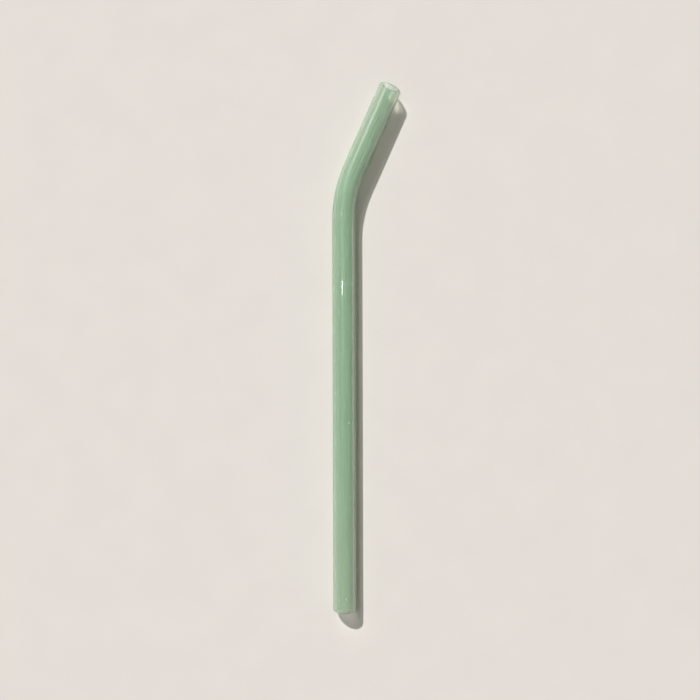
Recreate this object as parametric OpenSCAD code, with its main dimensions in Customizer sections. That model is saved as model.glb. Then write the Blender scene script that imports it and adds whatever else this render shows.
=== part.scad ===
// Bent glass drinking straw: one piece of drawn tube, bent once, with both ends melted round.
// It lies on its side on Z = 0. The long arm runs along +Y, and the short arm turns towards +X.
// The origin is under the middle of the box that holds it.

/* [Tube] */
// Outer diameter of the tube
tube_d = 9; // [6:0.5:14]
// Thickness of the glass wall
wall = 1.2; // [0.8:0.1:2.2]

/* [Arms] */
// Straight length of the long arm, from its lip to the start of the bend
long_len = 150.5; // [60:0.5:240]
// Straight length of the short arm, from the end of the bend to its lip
short_len = 34.3; // [12:0.1:90]

/* [Bend] */
// Angle by which the short arm turns away from the long arm, in degrees
bend_angle = 24; // [5:1:80]
// Radius of the bend, at the middle of the tube
bend_r = 50; // [20:1:100]

// How much thinner the glass is at each face of the bend, where it was stretched
bend_draw = 0.02; // [0.01:0.01:0.1]

/* [Melted lips] */
// Radius of each lip's inner edge, beside the bore
lip_inner_r = 0.2; // [0.1:0.05:0.6]

/* [Hidden] */
$fn = 96;

tube_r = tube_d / 2;
bore_r = tube_r - wall;
// The two edges of a lip meet at its crest, so the outer one takes the rest of the wall
lip_outer_r = wall - lip_inner_r;

// The bend is swept on into the glass of both arms by this many degrees
seat_angle = 0.2;

// Crest of the short arm's lip: how far out along the arm it lies, and its distance from the axis
lip_reach = short_len - lip_outer_r;
lip_side = tube_r - lip_outer_r;

// Box round the straw, counted from the long arm's lip
box_left = -tube_r;
box_right = bend_r * (1 - cos(bend_angle)) + lip_reach * sin(bend_angle)
    + lip_side * cos(bend_angle) + lip_outer_r;
box_far = long_len + bend_r * sin(bend_angle) + lip_reach * cos(bend_angle)
    + lip_side * sin(bend_angle) + lip_outer_r;

// Sharp corner outside a quarter circle, which is taken off to round an edge
module corner_cut(r) {
    difference() {
        square(r);
        translate([r, r]) circle(r);
    }
}

// Half section of an arm's wall, with its melted lip at height 0
module arm_section(len) {
    difference() {
        translate([bore_r, 0]) square([wall, len]);
        translate([bore_r, 0]) corner_cut(lip_inner_r);
        translate([tube_r, 0]) mirror([1, 0]) corner_cut(lip_outer_r);
    }
}

// Straight arm, standing on its lip
module arm(len) {
    rotate_extrude() arm_section(len);
}

// Ring of glass across the bend
module bend_section() {
    difference() {
        circle(tube_r - bend_draw);
        circle(bore_r + bend_draw);
    }
}

// Long arm, which lies along +Y from its lip
module long_arm() {
    rotate([-90, 0, 0]) arm(long_len);
}

// Bend, swept round its centre and let into both arms
module bend() {
    translate([bend_r, long_len, 0])
        rotate([0, 0, 180 - bend_angle - seat_angle])
            rotate_extrude(angle = bend_angle + 2 * seat_angle)
                translate([bend_r, 0]) bend_section();
}

// Short arm, turned round the bend's centre, with its lip outwards
module short_arm() {
    translate([bend_r, long_len, 0])
        rotate([0, 0, -bend_angle])
            translate([-bend_r, short_len, 0])
                rotate([90, 0, 0]) arm(short_len);
}

// The whole straw, resting on its side with the middle of its box over the origin
module straw() {
    color("DarkSeaGreen")
        translate([-(box_left + box_right) / 2, -box_far / 2, tube_r])
            union() {
                long_arm();
                bend();
                short_arm();
            }
}

straw();
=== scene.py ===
"""Bent drinking straw of milky mint glass, lying on a pale floor."""

import math

import bmesh
import bpy
from bpy.props import FloatProperty, FloatVectorProperty, IntProperty, PointerProperty
from mathutils import Matrix, Vector


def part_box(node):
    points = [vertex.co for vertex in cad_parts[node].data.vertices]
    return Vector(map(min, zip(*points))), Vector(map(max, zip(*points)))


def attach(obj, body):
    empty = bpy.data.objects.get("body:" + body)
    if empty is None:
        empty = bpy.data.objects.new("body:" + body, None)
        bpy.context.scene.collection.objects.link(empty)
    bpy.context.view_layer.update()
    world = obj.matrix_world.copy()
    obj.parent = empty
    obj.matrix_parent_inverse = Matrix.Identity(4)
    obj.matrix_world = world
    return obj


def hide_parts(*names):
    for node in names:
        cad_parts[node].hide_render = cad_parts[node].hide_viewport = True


bl_info = {
    "name": "Bent glass straw",
    "version": (1, 0, 0),
    "blender": (4, 5, 0),
    "location": "View3D > Sidebar > Glass straw",
    "description": "Makes the glass, the floor and the light of a bent glass straw",
    "category": "Object",
}

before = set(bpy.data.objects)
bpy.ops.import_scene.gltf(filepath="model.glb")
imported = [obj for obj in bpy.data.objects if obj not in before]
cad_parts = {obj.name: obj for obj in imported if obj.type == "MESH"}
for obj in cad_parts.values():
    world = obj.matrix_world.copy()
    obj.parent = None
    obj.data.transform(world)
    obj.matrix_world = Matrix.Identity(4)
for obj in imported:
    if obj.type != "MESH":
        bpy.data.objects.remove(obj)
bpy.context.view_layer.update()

CAD_NODE = "straw"
BOX_TOLERANCE = 0.0001

# Values that the tube's mesh carries for the glass
UNBENT = "unbent_place"
DRAWN = "drawn_direction"

# Steps of the wall's outline
OUTER_LIP_STEPS = 12
INNER_LIP_STEPS = 6
LONG_ARM_STEPS = 16
BEND_STEPS = 48
SHORT_ARM_STEPS = 5

# Noise in the glass and on the floor
NOISE_LOW = 0.3
NOISE_HIGH = 0.7
GLASS_NOISE_DETAIL = 2.0
FLOOR_NOISE_DETAIL = 4.0
RIPPLES_ROUND = 150.0
RIPPLES_ALONG = 600.0

# Clouds against streaks: times as wide, and times as many changes along the tube
CLOUD_WIDTH = 8
CLOUD_CHANGES = 2

# Gloss of the clear and the milky glass
CLEAR_ROUGHNESS = 0.05
MILK_GLOSS_DRAWN = 0.8
MILK_GLOSS_LEVEL = 0.8

# How the milk thickens where the wall is seen aslant
SLANT_BLEND = 0.5
SLANT_POWER = 1.5

# Share of a seed's width that is full, and the milk that a seed adds
SEED_CORE = 0.6
SEED_MILK = 0.5

# Light that has bounced off nothing matt has a diffuse depth below this
FIRST_BOUNCE = 0.5

# Camera
SENSOR_WIDTH = 36.0
NEAREST_SEEN = 0.01


class StrawSizes(bpy.types.PropertyGroup):
    """Sizes of the bent tube."""

    tube_diameter: FloatProperty(
        name="Tube diameter",
        description="Outer diameter of the tube",
        default=0.009,
        unit="LENGTH",
    )
    wall: FloatProperty(
        name="Wall",
        description="Thickness of the glass wall",
        default=0.0012,
        unit="LENGTH",
    )
    long_arm: FloatProperty(
        name="Long arm",
        description="Straight length of the long arm, from its lip to the bend",
        default=0.1505,
        unit="LENGTH",
    )
    short_arm: FloatProperty(
        name="Short arm",
        description="Straight length of the short arm, from the bend to its lip",
        default=0.0343,
        unit="LENGTH",
    )
    bend_angle: FloatProperty(
        name="Bend angle",
        description="Angle by which the short arm turns away from the long arm",
        default=math.radians(24),
        subtype="ANGLE",
    )
    bend_radius: FloatProperty(
        name="Bend radius",
        description="Radius of the bend at the middle of the tube",
        default=0.05,
        unit="LENGTH",
    )
    inner_lip: FloatProperty(
        name="Inner lip radius",
        description="Melted radius of each lip beside the bore",
        default=0.0002,
        unit="LENGTH",
    )
    facets: IntProperty(
        name="Facets round the tube",
        description="How many faces go once round the tube",
        default=128,
        min=16,
    )


class GlassLooks(bpy.types.PropertyGroup):
    """Colours and finish of the glass."""

    milk_light: FloatVectorProperty(
        name="Light mint",
        description="Colour of the palest clouds in the milky glass",
        subtype="COLOR",
        default=(0.39, 0.62, 0.41),
    )
    milk_deep: FloatVectorProperty(
        name="Deep mint",
        description="Colour of the deepest clouds in the milky glass",
        subtype="COLOR",
        default=(0.33, 0.56, 0.355),
    )
    # Painted light: the paler, warmer mint near the foot stands in for warm light shining through the
    # glass there. The glass itself is not warmer at the foot.
    painted_foot_light: FloatVectorProperty(
        name="Foot mint",
        description="Warmer colour of the milky glass at the foot",
        subtype="COLOR",
        default=(0.43, 0.60, 0.405),
    )
    painted_foot_light_reach: FloatProperty(
        name="Foot mint reach",
        description="Length over which the foot's warmer colour fades out",
        default=0.07,
        unit="LENGTH",
    )
    seed_colour: FloatVectorProperty(
        name="Seed colour",
        description="Colour of the tiny pale seeds in the glass",
        subtype="COLOR",
        default=(0.9, 0.95, 0.9),
    )
    seed_width: FloatProperty(
        name="Seed width",
        description="Width of a seed",
        default=0.0005,
        unit="LENGTH",
    )
    seed_spacing: FloatProperty(
        name="Seed spacing",
        description="Typical distance between two seeds",
        default=0.0042,
        unit="LENGTH",
    )
    clear_tint: FloatVectorProperty(
        name="Clear tint",
        description="Tint of what is seen through the glass",
        subtype="COLOR",
        default=(0.92, 0.90, 0.89),
    )
    shadow_tint: FloatVectorProperty(
        name="Shadow tint",
        description="Share of the lamps' light that passes each face of the glass",
        subtype="COLOR",
        default=(0.38, 0.395, 0.36),
    )
    refraction: FloatProperty(
        name="Refractive index",
        description="How strongly the glass bends light",
        default=1.47,
        min=1.0,
    )
    milk_roughness: FloatProperty(
        name="Milk roughness",
        description="How soft the gloss on the milky glass is",
        default=0.27,
        min=0.0,
        max=1.0,
        subtype="FACTOR",
    )
    milk_least: FloatProperty(
        name="Least milk",
        description="Share of milky glass in the clearest streaks",
        default=0.22,
        min=0.0,
        max=1.0,
        subtype="FACTOR",
    )
    milk_most: FloatProperty(
        name="Most milk",
        description="Share of milky glass in the cloudiest streaks",
        default=0.42,
        min=0.0,
        max=1.0,
        subtype="FACTOR",
    )
    rim_milk: FloatProperty(
        name="Rim milk",
        description="Extra share of milky glass where the wall is seen aslant",
        default=0.12,
        min=0.0,
        max=1.0,
        subtype="FACTOR",
    )
    mouth_milk: FloatProperty(
        name="Mouth milk",
        description="Share of the streaks' milk that is left at the mouth's lip",
        default=0.55,
        min=0.0,
        max=1.0,
        subtype="FACTOR",
    )
    mouth_reach: FloatProperty(
        name="Clear mouth reach",
        description="Length before the mouth's lip over which the milk thins out",
        default=0.040,
        unit="LENGTH",
    )
    belly_milk: FloatProperty(
        name="Belly milk",
        description="Extra share of milky glass along the tube's underside",
        default=0.25,
        min=0.0,
        max=1.0,
        subtype="FACTOR",
    )
    streaks_round: FloatProperty(
        name="Streaks across",
        description="How fine the drawn streaks are across the tube, per metre",
        default=1100.0,
    )
    streaks_along: FloatProperty(
        name="Streaks along",
        description="How often the drawn streaks change along the tube, per metre",
        default=1.2,
    )
    ripple: FloatProperty(
        name="Ripple",
        description="Height of the faint ripples that drawing leaves in the glass",
        default=0.000002,
        unit="LENGTH",
    )


class StageLooks(bpy.types.PropertyGroup):
    """Floor, lamps and camera."""

    floor_colour: FloatVectorProperty(
        name="Floor",
        description="Colour of the plain floor",
        subtype="COLOR",
        default=(0.760, 0.716, 0.667),
    )
    floor_width: FloatProperty(
        name="Floor width",
        description="Width of the square floor",
        default=6.0,
        unit="LENGTH",
    )
    mottle_scale: FloatProperty(
        name="Mottle scale",
        description="How fine the floor's faint mottle is, per metre",
        default=60.0,
    )
    mottle_depth: FloatProperty(
        name="Mottle depth",
        description="How much lighter and darker the floor's mottle gets",
        default=0.012,
        min=0.0,
        max=1.0,
        subtype="FACTOR",
    )
    key_towards: FloatVectorProperty(
        name="Key direction",
        description="Direction from the straw to the key lamp",
        subtype="DIRECTION",
        default=(-0.4997, 1.0667, 1.0),
    )
    key_strength: FloatProperty(
        name="Key strength",
        description="Strength of the key lamp, in watts a square metre",
        default=4.1,
    )
    key_angle: FloatProperty(
        name="Key width",
        description="How wide the key lamp looks, which softens the shadow's edge",
        default=math.radians(1.5),
        subtype="ANGLE",
    )
    glint_place: FloatVectorProperty(
        name="Glint place",
        description="Place on the long arm that the small softbox lights",
        subtype="TRANSLATION",
        default=(-0.00936, 0.0248, 0.00896),
    )
    softbox_towards: FloatVectorProperty(
        name="Softbox direction",
        description="Direction from that place to the small softbox",
        subtype="DIRECTION",
        default=(-0.2638, 0.0859, 0.9598),
    )
    softbox_length: FloatProperty(
        name="Softbox length",
        description="Longer width of the oval softbox",
        default=0.20,
        unit="LENGTH",
    )
    softbox_width: FloatProperty(
        name="Softbox width",
        description="Shorter width of the oval softbox",
        default=0.03,
        unit="LENGTH",
    )
    softbox_power: FloatProperty(
        name="Softbox power",
        description="Power of the small softbox",
        default=0.5,
        unit="POWER",
    )
    sky_colour: FloatVectorProperty(
        name="Sky",
        description="Colour of the even light from all round",
        subtype="COLOR",
        default=(1.0, 1.0, 1.0),
    )
    sky_strength: FloatProperty(
        name="Sky strength",
        description="Strength of the even light from all round",
        default=0.125,
    )
    backdrop_colour: FloatVectorProperty(
        name="Backdrop",
        description="Colour of the backdrop that is seen and mirrored",
        subtype="COLOR",
        default=(1.0, 0.98, 0.95),
    )
    backdrop_strength: FloatProperty(
        name="Backdrop brightness",
        description="How bright the backdrop looks, where 1 is white",
        default=0.85,
    )
    lens: FloatProperty(
        name="Lens",
        description="Focal length of the camera",
        default=36.48,
        unit="CAMERA",
    )
    camera_place: FloatVectorProperty(
        name="Camera place",
        description="Where the camera stands, looking straight down",
        subtype="TRANSLATION",
        default=(-0.006467, -0.001119, 0.27866),
    )
    camera_turn: FloatProperty(
        name="Camera turn",
        description="How far the camera is turned about its view",
        default=math.radians(-0.161),
        subtype="ANGLE",
    )


def bend_length(sizes):
    """Length of the bend along the tube's middle."""
    return sizes.bend_angle * sizes.bend_radius


def whole_length(sizes):
    """Length of the tube along its middle, from lip to lip."""
    return sizes.long_arm + bend_length(sizes) + sizes.short_arm


def centreline(sizes, along):
    """Middle of the tube at a length along it, and the tube's direction there."""
    low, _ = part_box(CAD_NODE)
    tube_r = sizes.tube_diameter / 2
    foot = Vector((low.x + tube_r, low.y, tube_r))
    turned = (along - sizes.long_arm) / sizes.bend_radius
    turned = min(max(turned, 0.0), sizes.bend_angle)
    heading = Vector((math.sin(turned), math.cos(turned), 0))
    if along <= sizes.long_arm:
        return foot + heading * along, heading
    bend_middle = foot + Vector((sizes.bend_radius, sizes.long_arm, 0))
    reach = Vector((-math.cos(turned), math.sin(turned), 0)) * sizes.bend_radius
    past_bend = along - sizes.long_arm - turned * sizes.bend_radius
    return bend_middle + reach + heading * past_bend, heading


def lip_steps(radius, count):
    """Steps round a melted edge, as depth below the lip's crest and way across."""
    turns = [math.pi / 2 * i / count for i in range(count + 1)]
    return [(radius * (1 - math.cos(t)), radius * math.sin(t)) for t in turns]


def places_between(start, length, count):
    """Places that part a length in even steps, without its two ends."""
    return [start + length * i / count for i in range(1, count)]


def wall_outline(sizes):
    """Closed outline of the glass wall, as length along the tube and radius."""
    tube_r = sizes.tube_diameter / 2
    bore_r = tube_r - sizes.wall
    outer_lip = sizes.wall - sizes.inner_lip
    whole = whole_length(sizes)
    bend_end = sizes.long_arm + bend_length(sizes)
    straight = places_between(0, sizes.long_arm, LONG_ARM_STEPS)
    straight += [sizes.long_arm]
    straight += places_between(sizes.long_arm, bend_length(sizes), BEND_STEPS)
    straight += [bend_end]
    straight += places_between(bend_end, sizes.short_arm, SHORT_ARM_STEPS)
    outer = [(down, tube_r - outer_lip + across) for down, across in lip_steps(outer_lip, OUTER_LIP_STEPS)]
    inner = [
        (down, bore_r + sizes.inner_lip - across)
        for down, across in lip_steps(sizes.inner_lip, INNER_LIP_STEPS)[1:]
    ]
    outline = list(outer)
    outline += [(along, tube_r) for along in straight]
    outline += [(whole - down, radius) for down, radius in reversed(outer)]
    outline += [(whole - down, radius) for down, radius in inner]
    outline += [(along, bore_r) for along in reversed(straight)]
    outline += reversed(inner)
    return outline


def tube_mesh(sizes):
    """Mesh of the bent tube with its bore and both melted lips."""
    made = bmesh.new()
    unbent = made.verts.layers.float_vector.new(UNBENT)
    drawn = made.verts.layers.float_vector.new(DRAWN)
    up = Vector((0, 0, 1))
    rings = []
    for along, radius in wall_outline(sizes):
        middle, heading = centreline(sizes, along)
        across = heading.cross(up)
        ring = []
        for i in range(sizes.facets):
            turn = 2 * math.pi * i / sizes.facets
            flat = Vector((math.cos(turn), math.sin(turn), 0)) * radius
            vertex = made.verts.new(middle + across * flat.x + up * flat.y)
            vertex[unbent] = Vector((flat.x, flat.y, along))
            vertex[drawn] = heading
            ring.append(vertex)
        rings.append(ring)
    for ring, following in zip(rings, rings[1:] + rings[:1]):
        for i in range(sizes.facets):
            j = (i + 1) % sizes.facets
            face = made.faces.new((ring[i], ring[j], following[j], following[i]))
            face.smooth = True
    bmesh.ops.recalc_face_normals(made, faces=made.faces)
    if made.calc_volume(signed=True) < 0:
        bmesh.ops.reverse_faces(made, faces=made.faces)
    mesh = bpy.data.meshes.new("mint_glass_tube")
    made.to_mesh(mesh)
    made.free()
    return mesh


def check_inside_box(piece):
    """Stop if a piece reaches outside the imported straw's box."""
    low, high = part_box(CAD_NODE)
    for axis in range(3):
        reach = [corner[axis] for corner in piece.bound_box]
        if min(reach) < low[axis] - BOX_TOLERANCE or max(reach) > high[axis] + BOX_TOLERANCE:
            raise RuntimeError("The glass tube reaches outside the packed straw's box")


def new_node(tree, kind, inputs=None, **settings):
    """A new node, with its settings, and with inputs that are plain values or outputs."""
    made = tree.nodes.new(kind)
    for name, value in settings.items():
        setattr(made, name, value)
    for name, value in (inputs or {}).items():
        if isinstance(value, bpy.types.NodeSocket):
            tree.links.new(value, made.inputs[name])
        else:
            made.inputs[name].default_value = value
    return made


def maths(tree, operation, *values, clamp=False):
    """Result of a calculation with plain values or outputs."""
    inputs = dict(enumerate(values))
    made = new_node(tree, "ShaderNodeMath", inputs, operation=operation, use_clamp=clamp)
    return made.outputs["Value"]


def mesh_value(tree, name):
    """Vector that the tube's mesh carries under a name."""
    made = new_node(tree, "ShaderNodeAttribute", attribute_type="GEOMETRY", attribute_name=name)
    return made.outputs["Vector"]


def stretched(tree, place, across, along):
    """Place on the tube as if unbent, scaled across and along the tube."""
    mapping = new_node(tree, "ShaderNodeMapping", {"Scale": (across, across, along), "Vector": place})
    return mapping.outputs["Vector"]


def noise(tree, place, scale, detail):
    """Soft noise that follows a place."""
    inputs = {"Scale": scale, "Detail": detail, "Vector": place}
    return new_node(tree, "ShaderNodeTexNoise", inputs).outputs["Fac"]


def faded(tree, value, start, end, low, high):
    """A value that goes from low to high while another goes from start to end."""
    inputs = {"Value": value, "From Min": start, "From Max": end, "To Min": low, "To Max": high}
    return new_node(tree, "ShaderNodeMapRange", inputs).outputs["Result"]


def spread_noise(tree, value, low, high):
    """The middle part of a noise, spread from low to high."""
    return faded(tree, value, NOISE_LOW, NOISE_HIGH, low, high)


def mixed_colours(tree, factor, first, second):
    """Colour between two others, each a plain colour or another node's output."""
    ends = [c if isinstance(c, bpy.types.NodeSocket) else (*c, 1) for c in (first, second)]
    inputs = {"A": ends[0], "B": ends[1], "Factor": factor}
    return new_node(tree, "ShaderNodeMix", inputs, data_type="RGBA").outputs["Result"]


def mixed_shaders(tree, factor, first, second):
    """Shader between two others: the first at 0, the second at 1."""
    return new_node(tree, "ShaderNodeMixShader", {"Fac": factor, 1: first, 2: second}).outputs["Shader"]


def seeds(tree, place, looks):
    """Tiny round seeds in the glass: 1 inside a seed, 0 outside."""
    scaled = stretched(tree, place, 1 / looks.seed_spacing, 1 / looks.seed_spacing)
    cells = new_node(tree, "ShaderNodeTexVoronoi", {"Scale": 1.0, "Vector": scaled})
    reach = looks.seed_width / 2 / looks.seed_spacing
    return faded(tree, cells.outputs["Distance"], reach * SEED_CORE, reach, 1.0, 0.0)


def milk_colour(tree, place, along, spots, looks):
    """Clouded mint with pale seeds; towards the foot a paler, warmer mint is painted light, standing in
    for warm light seen through the glass there.
    """
    cloud_place = stretched(
        tree, place, looks.streaks_round / CLOUD_WIDTH, looks.streaks_along * CLOUD_CHANGES
    )
    clouds = spread_noise(tree, noise(tree, cloud_place, 1.0, GLASS_NOISE_DETAIL), 0.0, 1.0)
    clouded = mixed_colours(tree, clouds, looks.milk_deep, looks.milk_light)
    # Painted light: the mint turns paler and warmer towards the foot, for the warm light that shines
    # through the glass there
    painted_foot_light_fade = faded(tree, along, 0.0, looks.painted_foot_light_reach, 1.0, 0.0)
    with_painted_foot_light = mixed_colours(tree, painted_foot_light_fade, clouded, looks.painted_foot_light)
    return mixed_colours(tree, spots, with_painted_foot_light, looks.seed_colour)


def milk_share(tree, place, along, above, spots, looks, sizes):
    """Share of milky glass: streaked, thinner at the mouth, thicker below and in seeds."""
    streak_place = stretched(tree, place, looks.streaks_round, looks.streaks_along)
    streaks = noise(tree, streak_place, 1.0, GLASS_NOISE_DETAIL)
    streaked = spread_noise(tree, streaks, looks.milk_least, looks.milk_most)
    slant = new_node(tree, "ShaderNodeLayerWeight", {"Blend": SLANT_BLEND}).outputs["Facing"]
    steep = maths(tree, "POWER", slant, SLANT_POWER)
    thick = maths(tree, "MULTIPLY_ADD", steep, looks.rim_milk, streaked, clamp=True)
    mouth = whole_length(sizes)
    thinning = faded(tree, along, mouth - looks.mouth_reach, mouth, 1.0, looks.mouth_milk)
    thinned = maths(tree, "MULTIPLY", thick, thinning)
    belly = faded(tree, above, -sizes.tube_diameter / 2, 0.0, looks.belly_milk, 0.0)
    settled = maths(tree, "ADD", thinned, belly)
    return maths(tree, "MULTIPLY_ADD", spots, SEED_MILK, settled, clamp=True)


def milky_glass(looks, sizes):
    """Clear glass with milky mint streaks drawn out along the tube."""
    material = bpy.data.materials.new("milky_mint_glass")
    material.use_nodes = True
    tree = material.node_tree
    tree.nodes.clear()
    place = mesh_value(tree, UNBENT)
    parts = new_node(tree, "ShaderNodeSeparateXYZ", {"Vector": place})
    above = parts.outputs["Y"]
    along = parts.outputs["Z"]
    spots = seeds(tree, place, looks)

    ripple_place = stretched(tree, place, RIPPLES_ROUND, RIPPLES_ALONG)
    ripples = noise(tree, ripple_place, 1.0, GLASS_NOISE_DETAIL)
    bump_inputs = {"Strength": 1.0, "Distance": looks.ripple, "Height": ripples}
    rippled = new_node(tree, "ShaderNodeBump", bump_inputs).outputs["Normal"]

    clear = new_node(tree, "ShaderNodeBsdfPrincipled", {
        "Base Color": (*looks.clear_tint, 1),
        "Transmission Weight": 1.0,
        "IOR": looks.refraction,
        "Roughness": CLEAR_ROUGHNESS,
        "Normal": rippled,
    })
    milk = new_node(tree, "ShaderNodeBsdfPrincipled", {
        "Base Color": milk_colour(tree, place, along, spots, looks),
        "IOR": looks.refraction,
        "Roughness": looks.milk_roughness,
        "Specular IOR Level": MILK_GLOSS_LEVEL,
        "Anisotropic": MILK_GLOSS_DRAWN,
        "Tangent": mesh_value(tree, DRAWN),
        "Normal": rippled,
    })
    share = milk_share(tree, place, along, above, spots, looks, sizes)
    body = mixed_shaders(tree, share, clear.outputs["BSDF"], milk.outputs["BSDF"])

    # The lamps' light goes straight through each face, so the shadow has its paler edge
    passing = new_node(tree, "ShaderNodeBsdfTransparent", {"Color": (*looks.shadow_tint, 1)})
    to_lamp = new_node(tree, "ShaderNodeLightPath").outputs["Is Shadow Ray"]
    glass = mixed_shaders(tree, to_lamp, body, passing.outputs["BSDF"])
    new_node(tree, "ShaderNodeOutputMaterial", {"Surface": glass})
    return material


def plain_floor(looks):
    """Matt pale floor with a very faint mottle."""
    material = bpy.data.materials.new("plain_pale_floor")
    material.use_nodes = True
    tree = material.node_tree
    place = new_node(tree, "ShaderNodeTexCoord").outputs["Object"]
    mottle = noise(tree, place, looks.mottle_scale, FLOOR_NOISE_DETAIL)
    darker = [part * (1 - looks.mottle_depth) for part in looks.floor_colour]
    lighter = [part * (1 + looks.mottle_depth) for part in looks.floor_colour]
    colour = mixed_colours(tree, spread_noise(tree, mottle, 0.0, 1.0), darker, lighter)
    shader = tree.nodes["Principled BSDF"]
    tree.links.new(colour, shader.inputs["Base Color"])
    shader.inputs["Roughness"].default_value = 1.0
    shader.inputs["Specular IOR Level"].default_value = 0.0
    return material


def even_light(looks):
    """Even light from all round, with a brighter backdrop for what is seen and mirrored."""
    world = bpy.data.worlds.new("even_light")
    world.use_nodes = True
    tree = world.node_tree
    sky = tree.nodes["Background"]
    sky.inputs["Color"].default_value = (*looks.sky_colour, 1)
    sky.inputs["Strength"].default_value = looks.sky_strength
    backdrop = new_node(tree, "ShaderNodeBackground", {
        "Color": (*looks.backdrop_colour, 1),
        "Strength": looks.backdrop_strength,
    })
    path = new_node(tree, "ShaderNodeLightPath").outputs
    seen = maths(tree, "MAXIMUM", path["Is Camera Ray"], path["Is Transmission Ray"])
    mirrored = maths(tree, "MAXIMUM", seen, path["Is Glossy Ray"])
    before_bounce = maths(tree, "LESS_THAN", path["Diffuse Depth"], FIRST_BOUNCE)
    shown = maths(tree, "MULTIPLY", mirrored, before_bounce)
    light = mixed_shaders(tree, shown, sky.outputs["Background"], backdrop.outputs["Background"])
    tree.links.new(light, tree.nodes["World Output"].inputs["Surface"])
    return world


def add_lamp(name, kind, towards, lit_place):
    """Settings of a new lamp that shines onto a place from 1 m away."""
    lamp = bpy.data.objects.new(name, bpy.data.lights.new(name, kind))
    away = Vector(towards).normalized()
    lamp.location = lit_place + away
    lamp.rotation_mode = "QUATERNION"
    across = Vector((0, 1, 0)).cross(away).normalized()
    lamp.rotation_quaternion = Matrix((across, away.cross(across), away)).transposed().to_quaternion()
    bpy.context.scene.collection.objects.link(lamp)
    return lamp.data


def add_floor(looks):
    """The square floor under the straw."""
    half = looks.floor_width / 2
    mesh = bpy.data.meshes.new("floor")
    corners = [(-half, -half, 0), (half, -half, 0), (half, half, 0), (-half, half, 0)]
    mesh.from_pydata(corners, [], [(0, 1, 2, 3)])
    mesh.materials.append(plain_floor(looks))
    floor = bpy.data.objects.new("floor", mesh)
    bpy.context.scene.collection.objects.link(floor)
    return floor


def add_camera(looks):
    """The camera, which looks straight down."""
    data = bpy.data.cameras.new("camera")
    data.sensor_width = SENSOR_WIDTH
    data.lens = looks.lens
    data.clip_start = NEAREST_SEEN
    camera = bpy.data.objects.new("camera", data)
    camera.location = looks.camera_place
    camera.rotation_euler = (0, 0, looks.camera_turn)
    bpy.context.scene.collection.objects.link(camera)
    return camera


class STRAW_OT_glass_tube(bpy.types.Operator):
    """Make the bent glass tube with its bore and melted lips"""

    bl_idname = "straw.glass_tube"
    bl_label = "Glass tube"

    def execute(self, context):
        sizes = context.scene.straw_sizes
        tube = bpy.data.objects.new("glass_tube", tube_mesh(sizes))
        context.scene.collection.objects.link(tube)
        check_inside_box(tube)
        tube.data.materials.append(milky_glass(context.scene.glass_looks, sizes))
        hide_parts(CAD_NODE)
        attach(tube, "root")
        return {"FINISHED"}


class STRAW_OT_stage(bpy.types.Operator):
    """Make the floor, the lamps, the even light and the camera"""

    bl_idname = "straw.stage"
    bl_label = "Stage"

    def execute(self, context):
        scene = context.scene
        looks = scene.stage_looks
        floor = add_floor(looks)

        key = add_lamp("key", "SUN", looks.key_towards, Vector())
        key.energy = looks.key_strength
        key.angle = looks.key_angle
        softbox = add_lamp("small_softbox", "AREA", looks.softbox_towards, looks.glint_place)
        softbox.shape = "ELLIPSE"
        softbox.size = looks.softbox_length
        softbox.size_y = looks.softbox_width
        softbox.energy = looks.softbox_power

        scene.world = even_light(looks)
        bpy.context.scene.camera = add_camera(looks)
        scene.view_settings.view_transform = "Standard"
        return {"FINISHED"}


class STRAW_PT_panel(bpy.types.Panel):
    """Buttons and sizes of the glass straw"""

    bl_idname = "STRAW_PT_panel"
    bl_label = "Glass straw"
    bl_space_type = "VIEW_3D"
    bl_region_type = "UI"
    bl_category = "Glass straw"

    def draw(self, context):
        scene = context.scene
        for operator in (STRAW_OT_glass_tube, STRAW_OT_stage):
            self.layout.operator(operator.bl_idname)
        for settings in (scene.straw_sizes, scene.glass_looks, scene.stage_looks):
            for name in settings.__annotations__:
                self.layout.prop(settings, name)


CLASSES = (
    StrawSizes,
    GlassLooks,
    StageLooks,
    STRAW_OT_glass_tube,
    STRAW_OT_stage,
    STRAW_PT_panel,
)


def register():
    """Register the classes and give each scene their settings."""
    for cls in CLASSES:
        bpy.utils.register_class(cls)
    bpy.types.Scene.straw_sizes = PointerProperty(type=StrawSizes)
    bpy.types.Scene.glass_looks = PointerProperty(type=GlassLooks)
    bpy.types.Scene.stage_looks = PointerProperty(type=StageLooks)


def unregister():
    """Take the settings and the classes away again."""
    del bpy.types.Scene.stage_looks
    del bpy.types.Scene.glass_looks
    del bpy.types.Scene.straw_sizes
    for cls in reversed(CLASSES):
        bpy.utils.unregister_class(cls)


def main():
    """Make the straw and its stage."""
    register()
    bpy.ops.straw.glass_tube()
    bpy.ops.straw.stage()


if __name__ == "__main__":
    main()
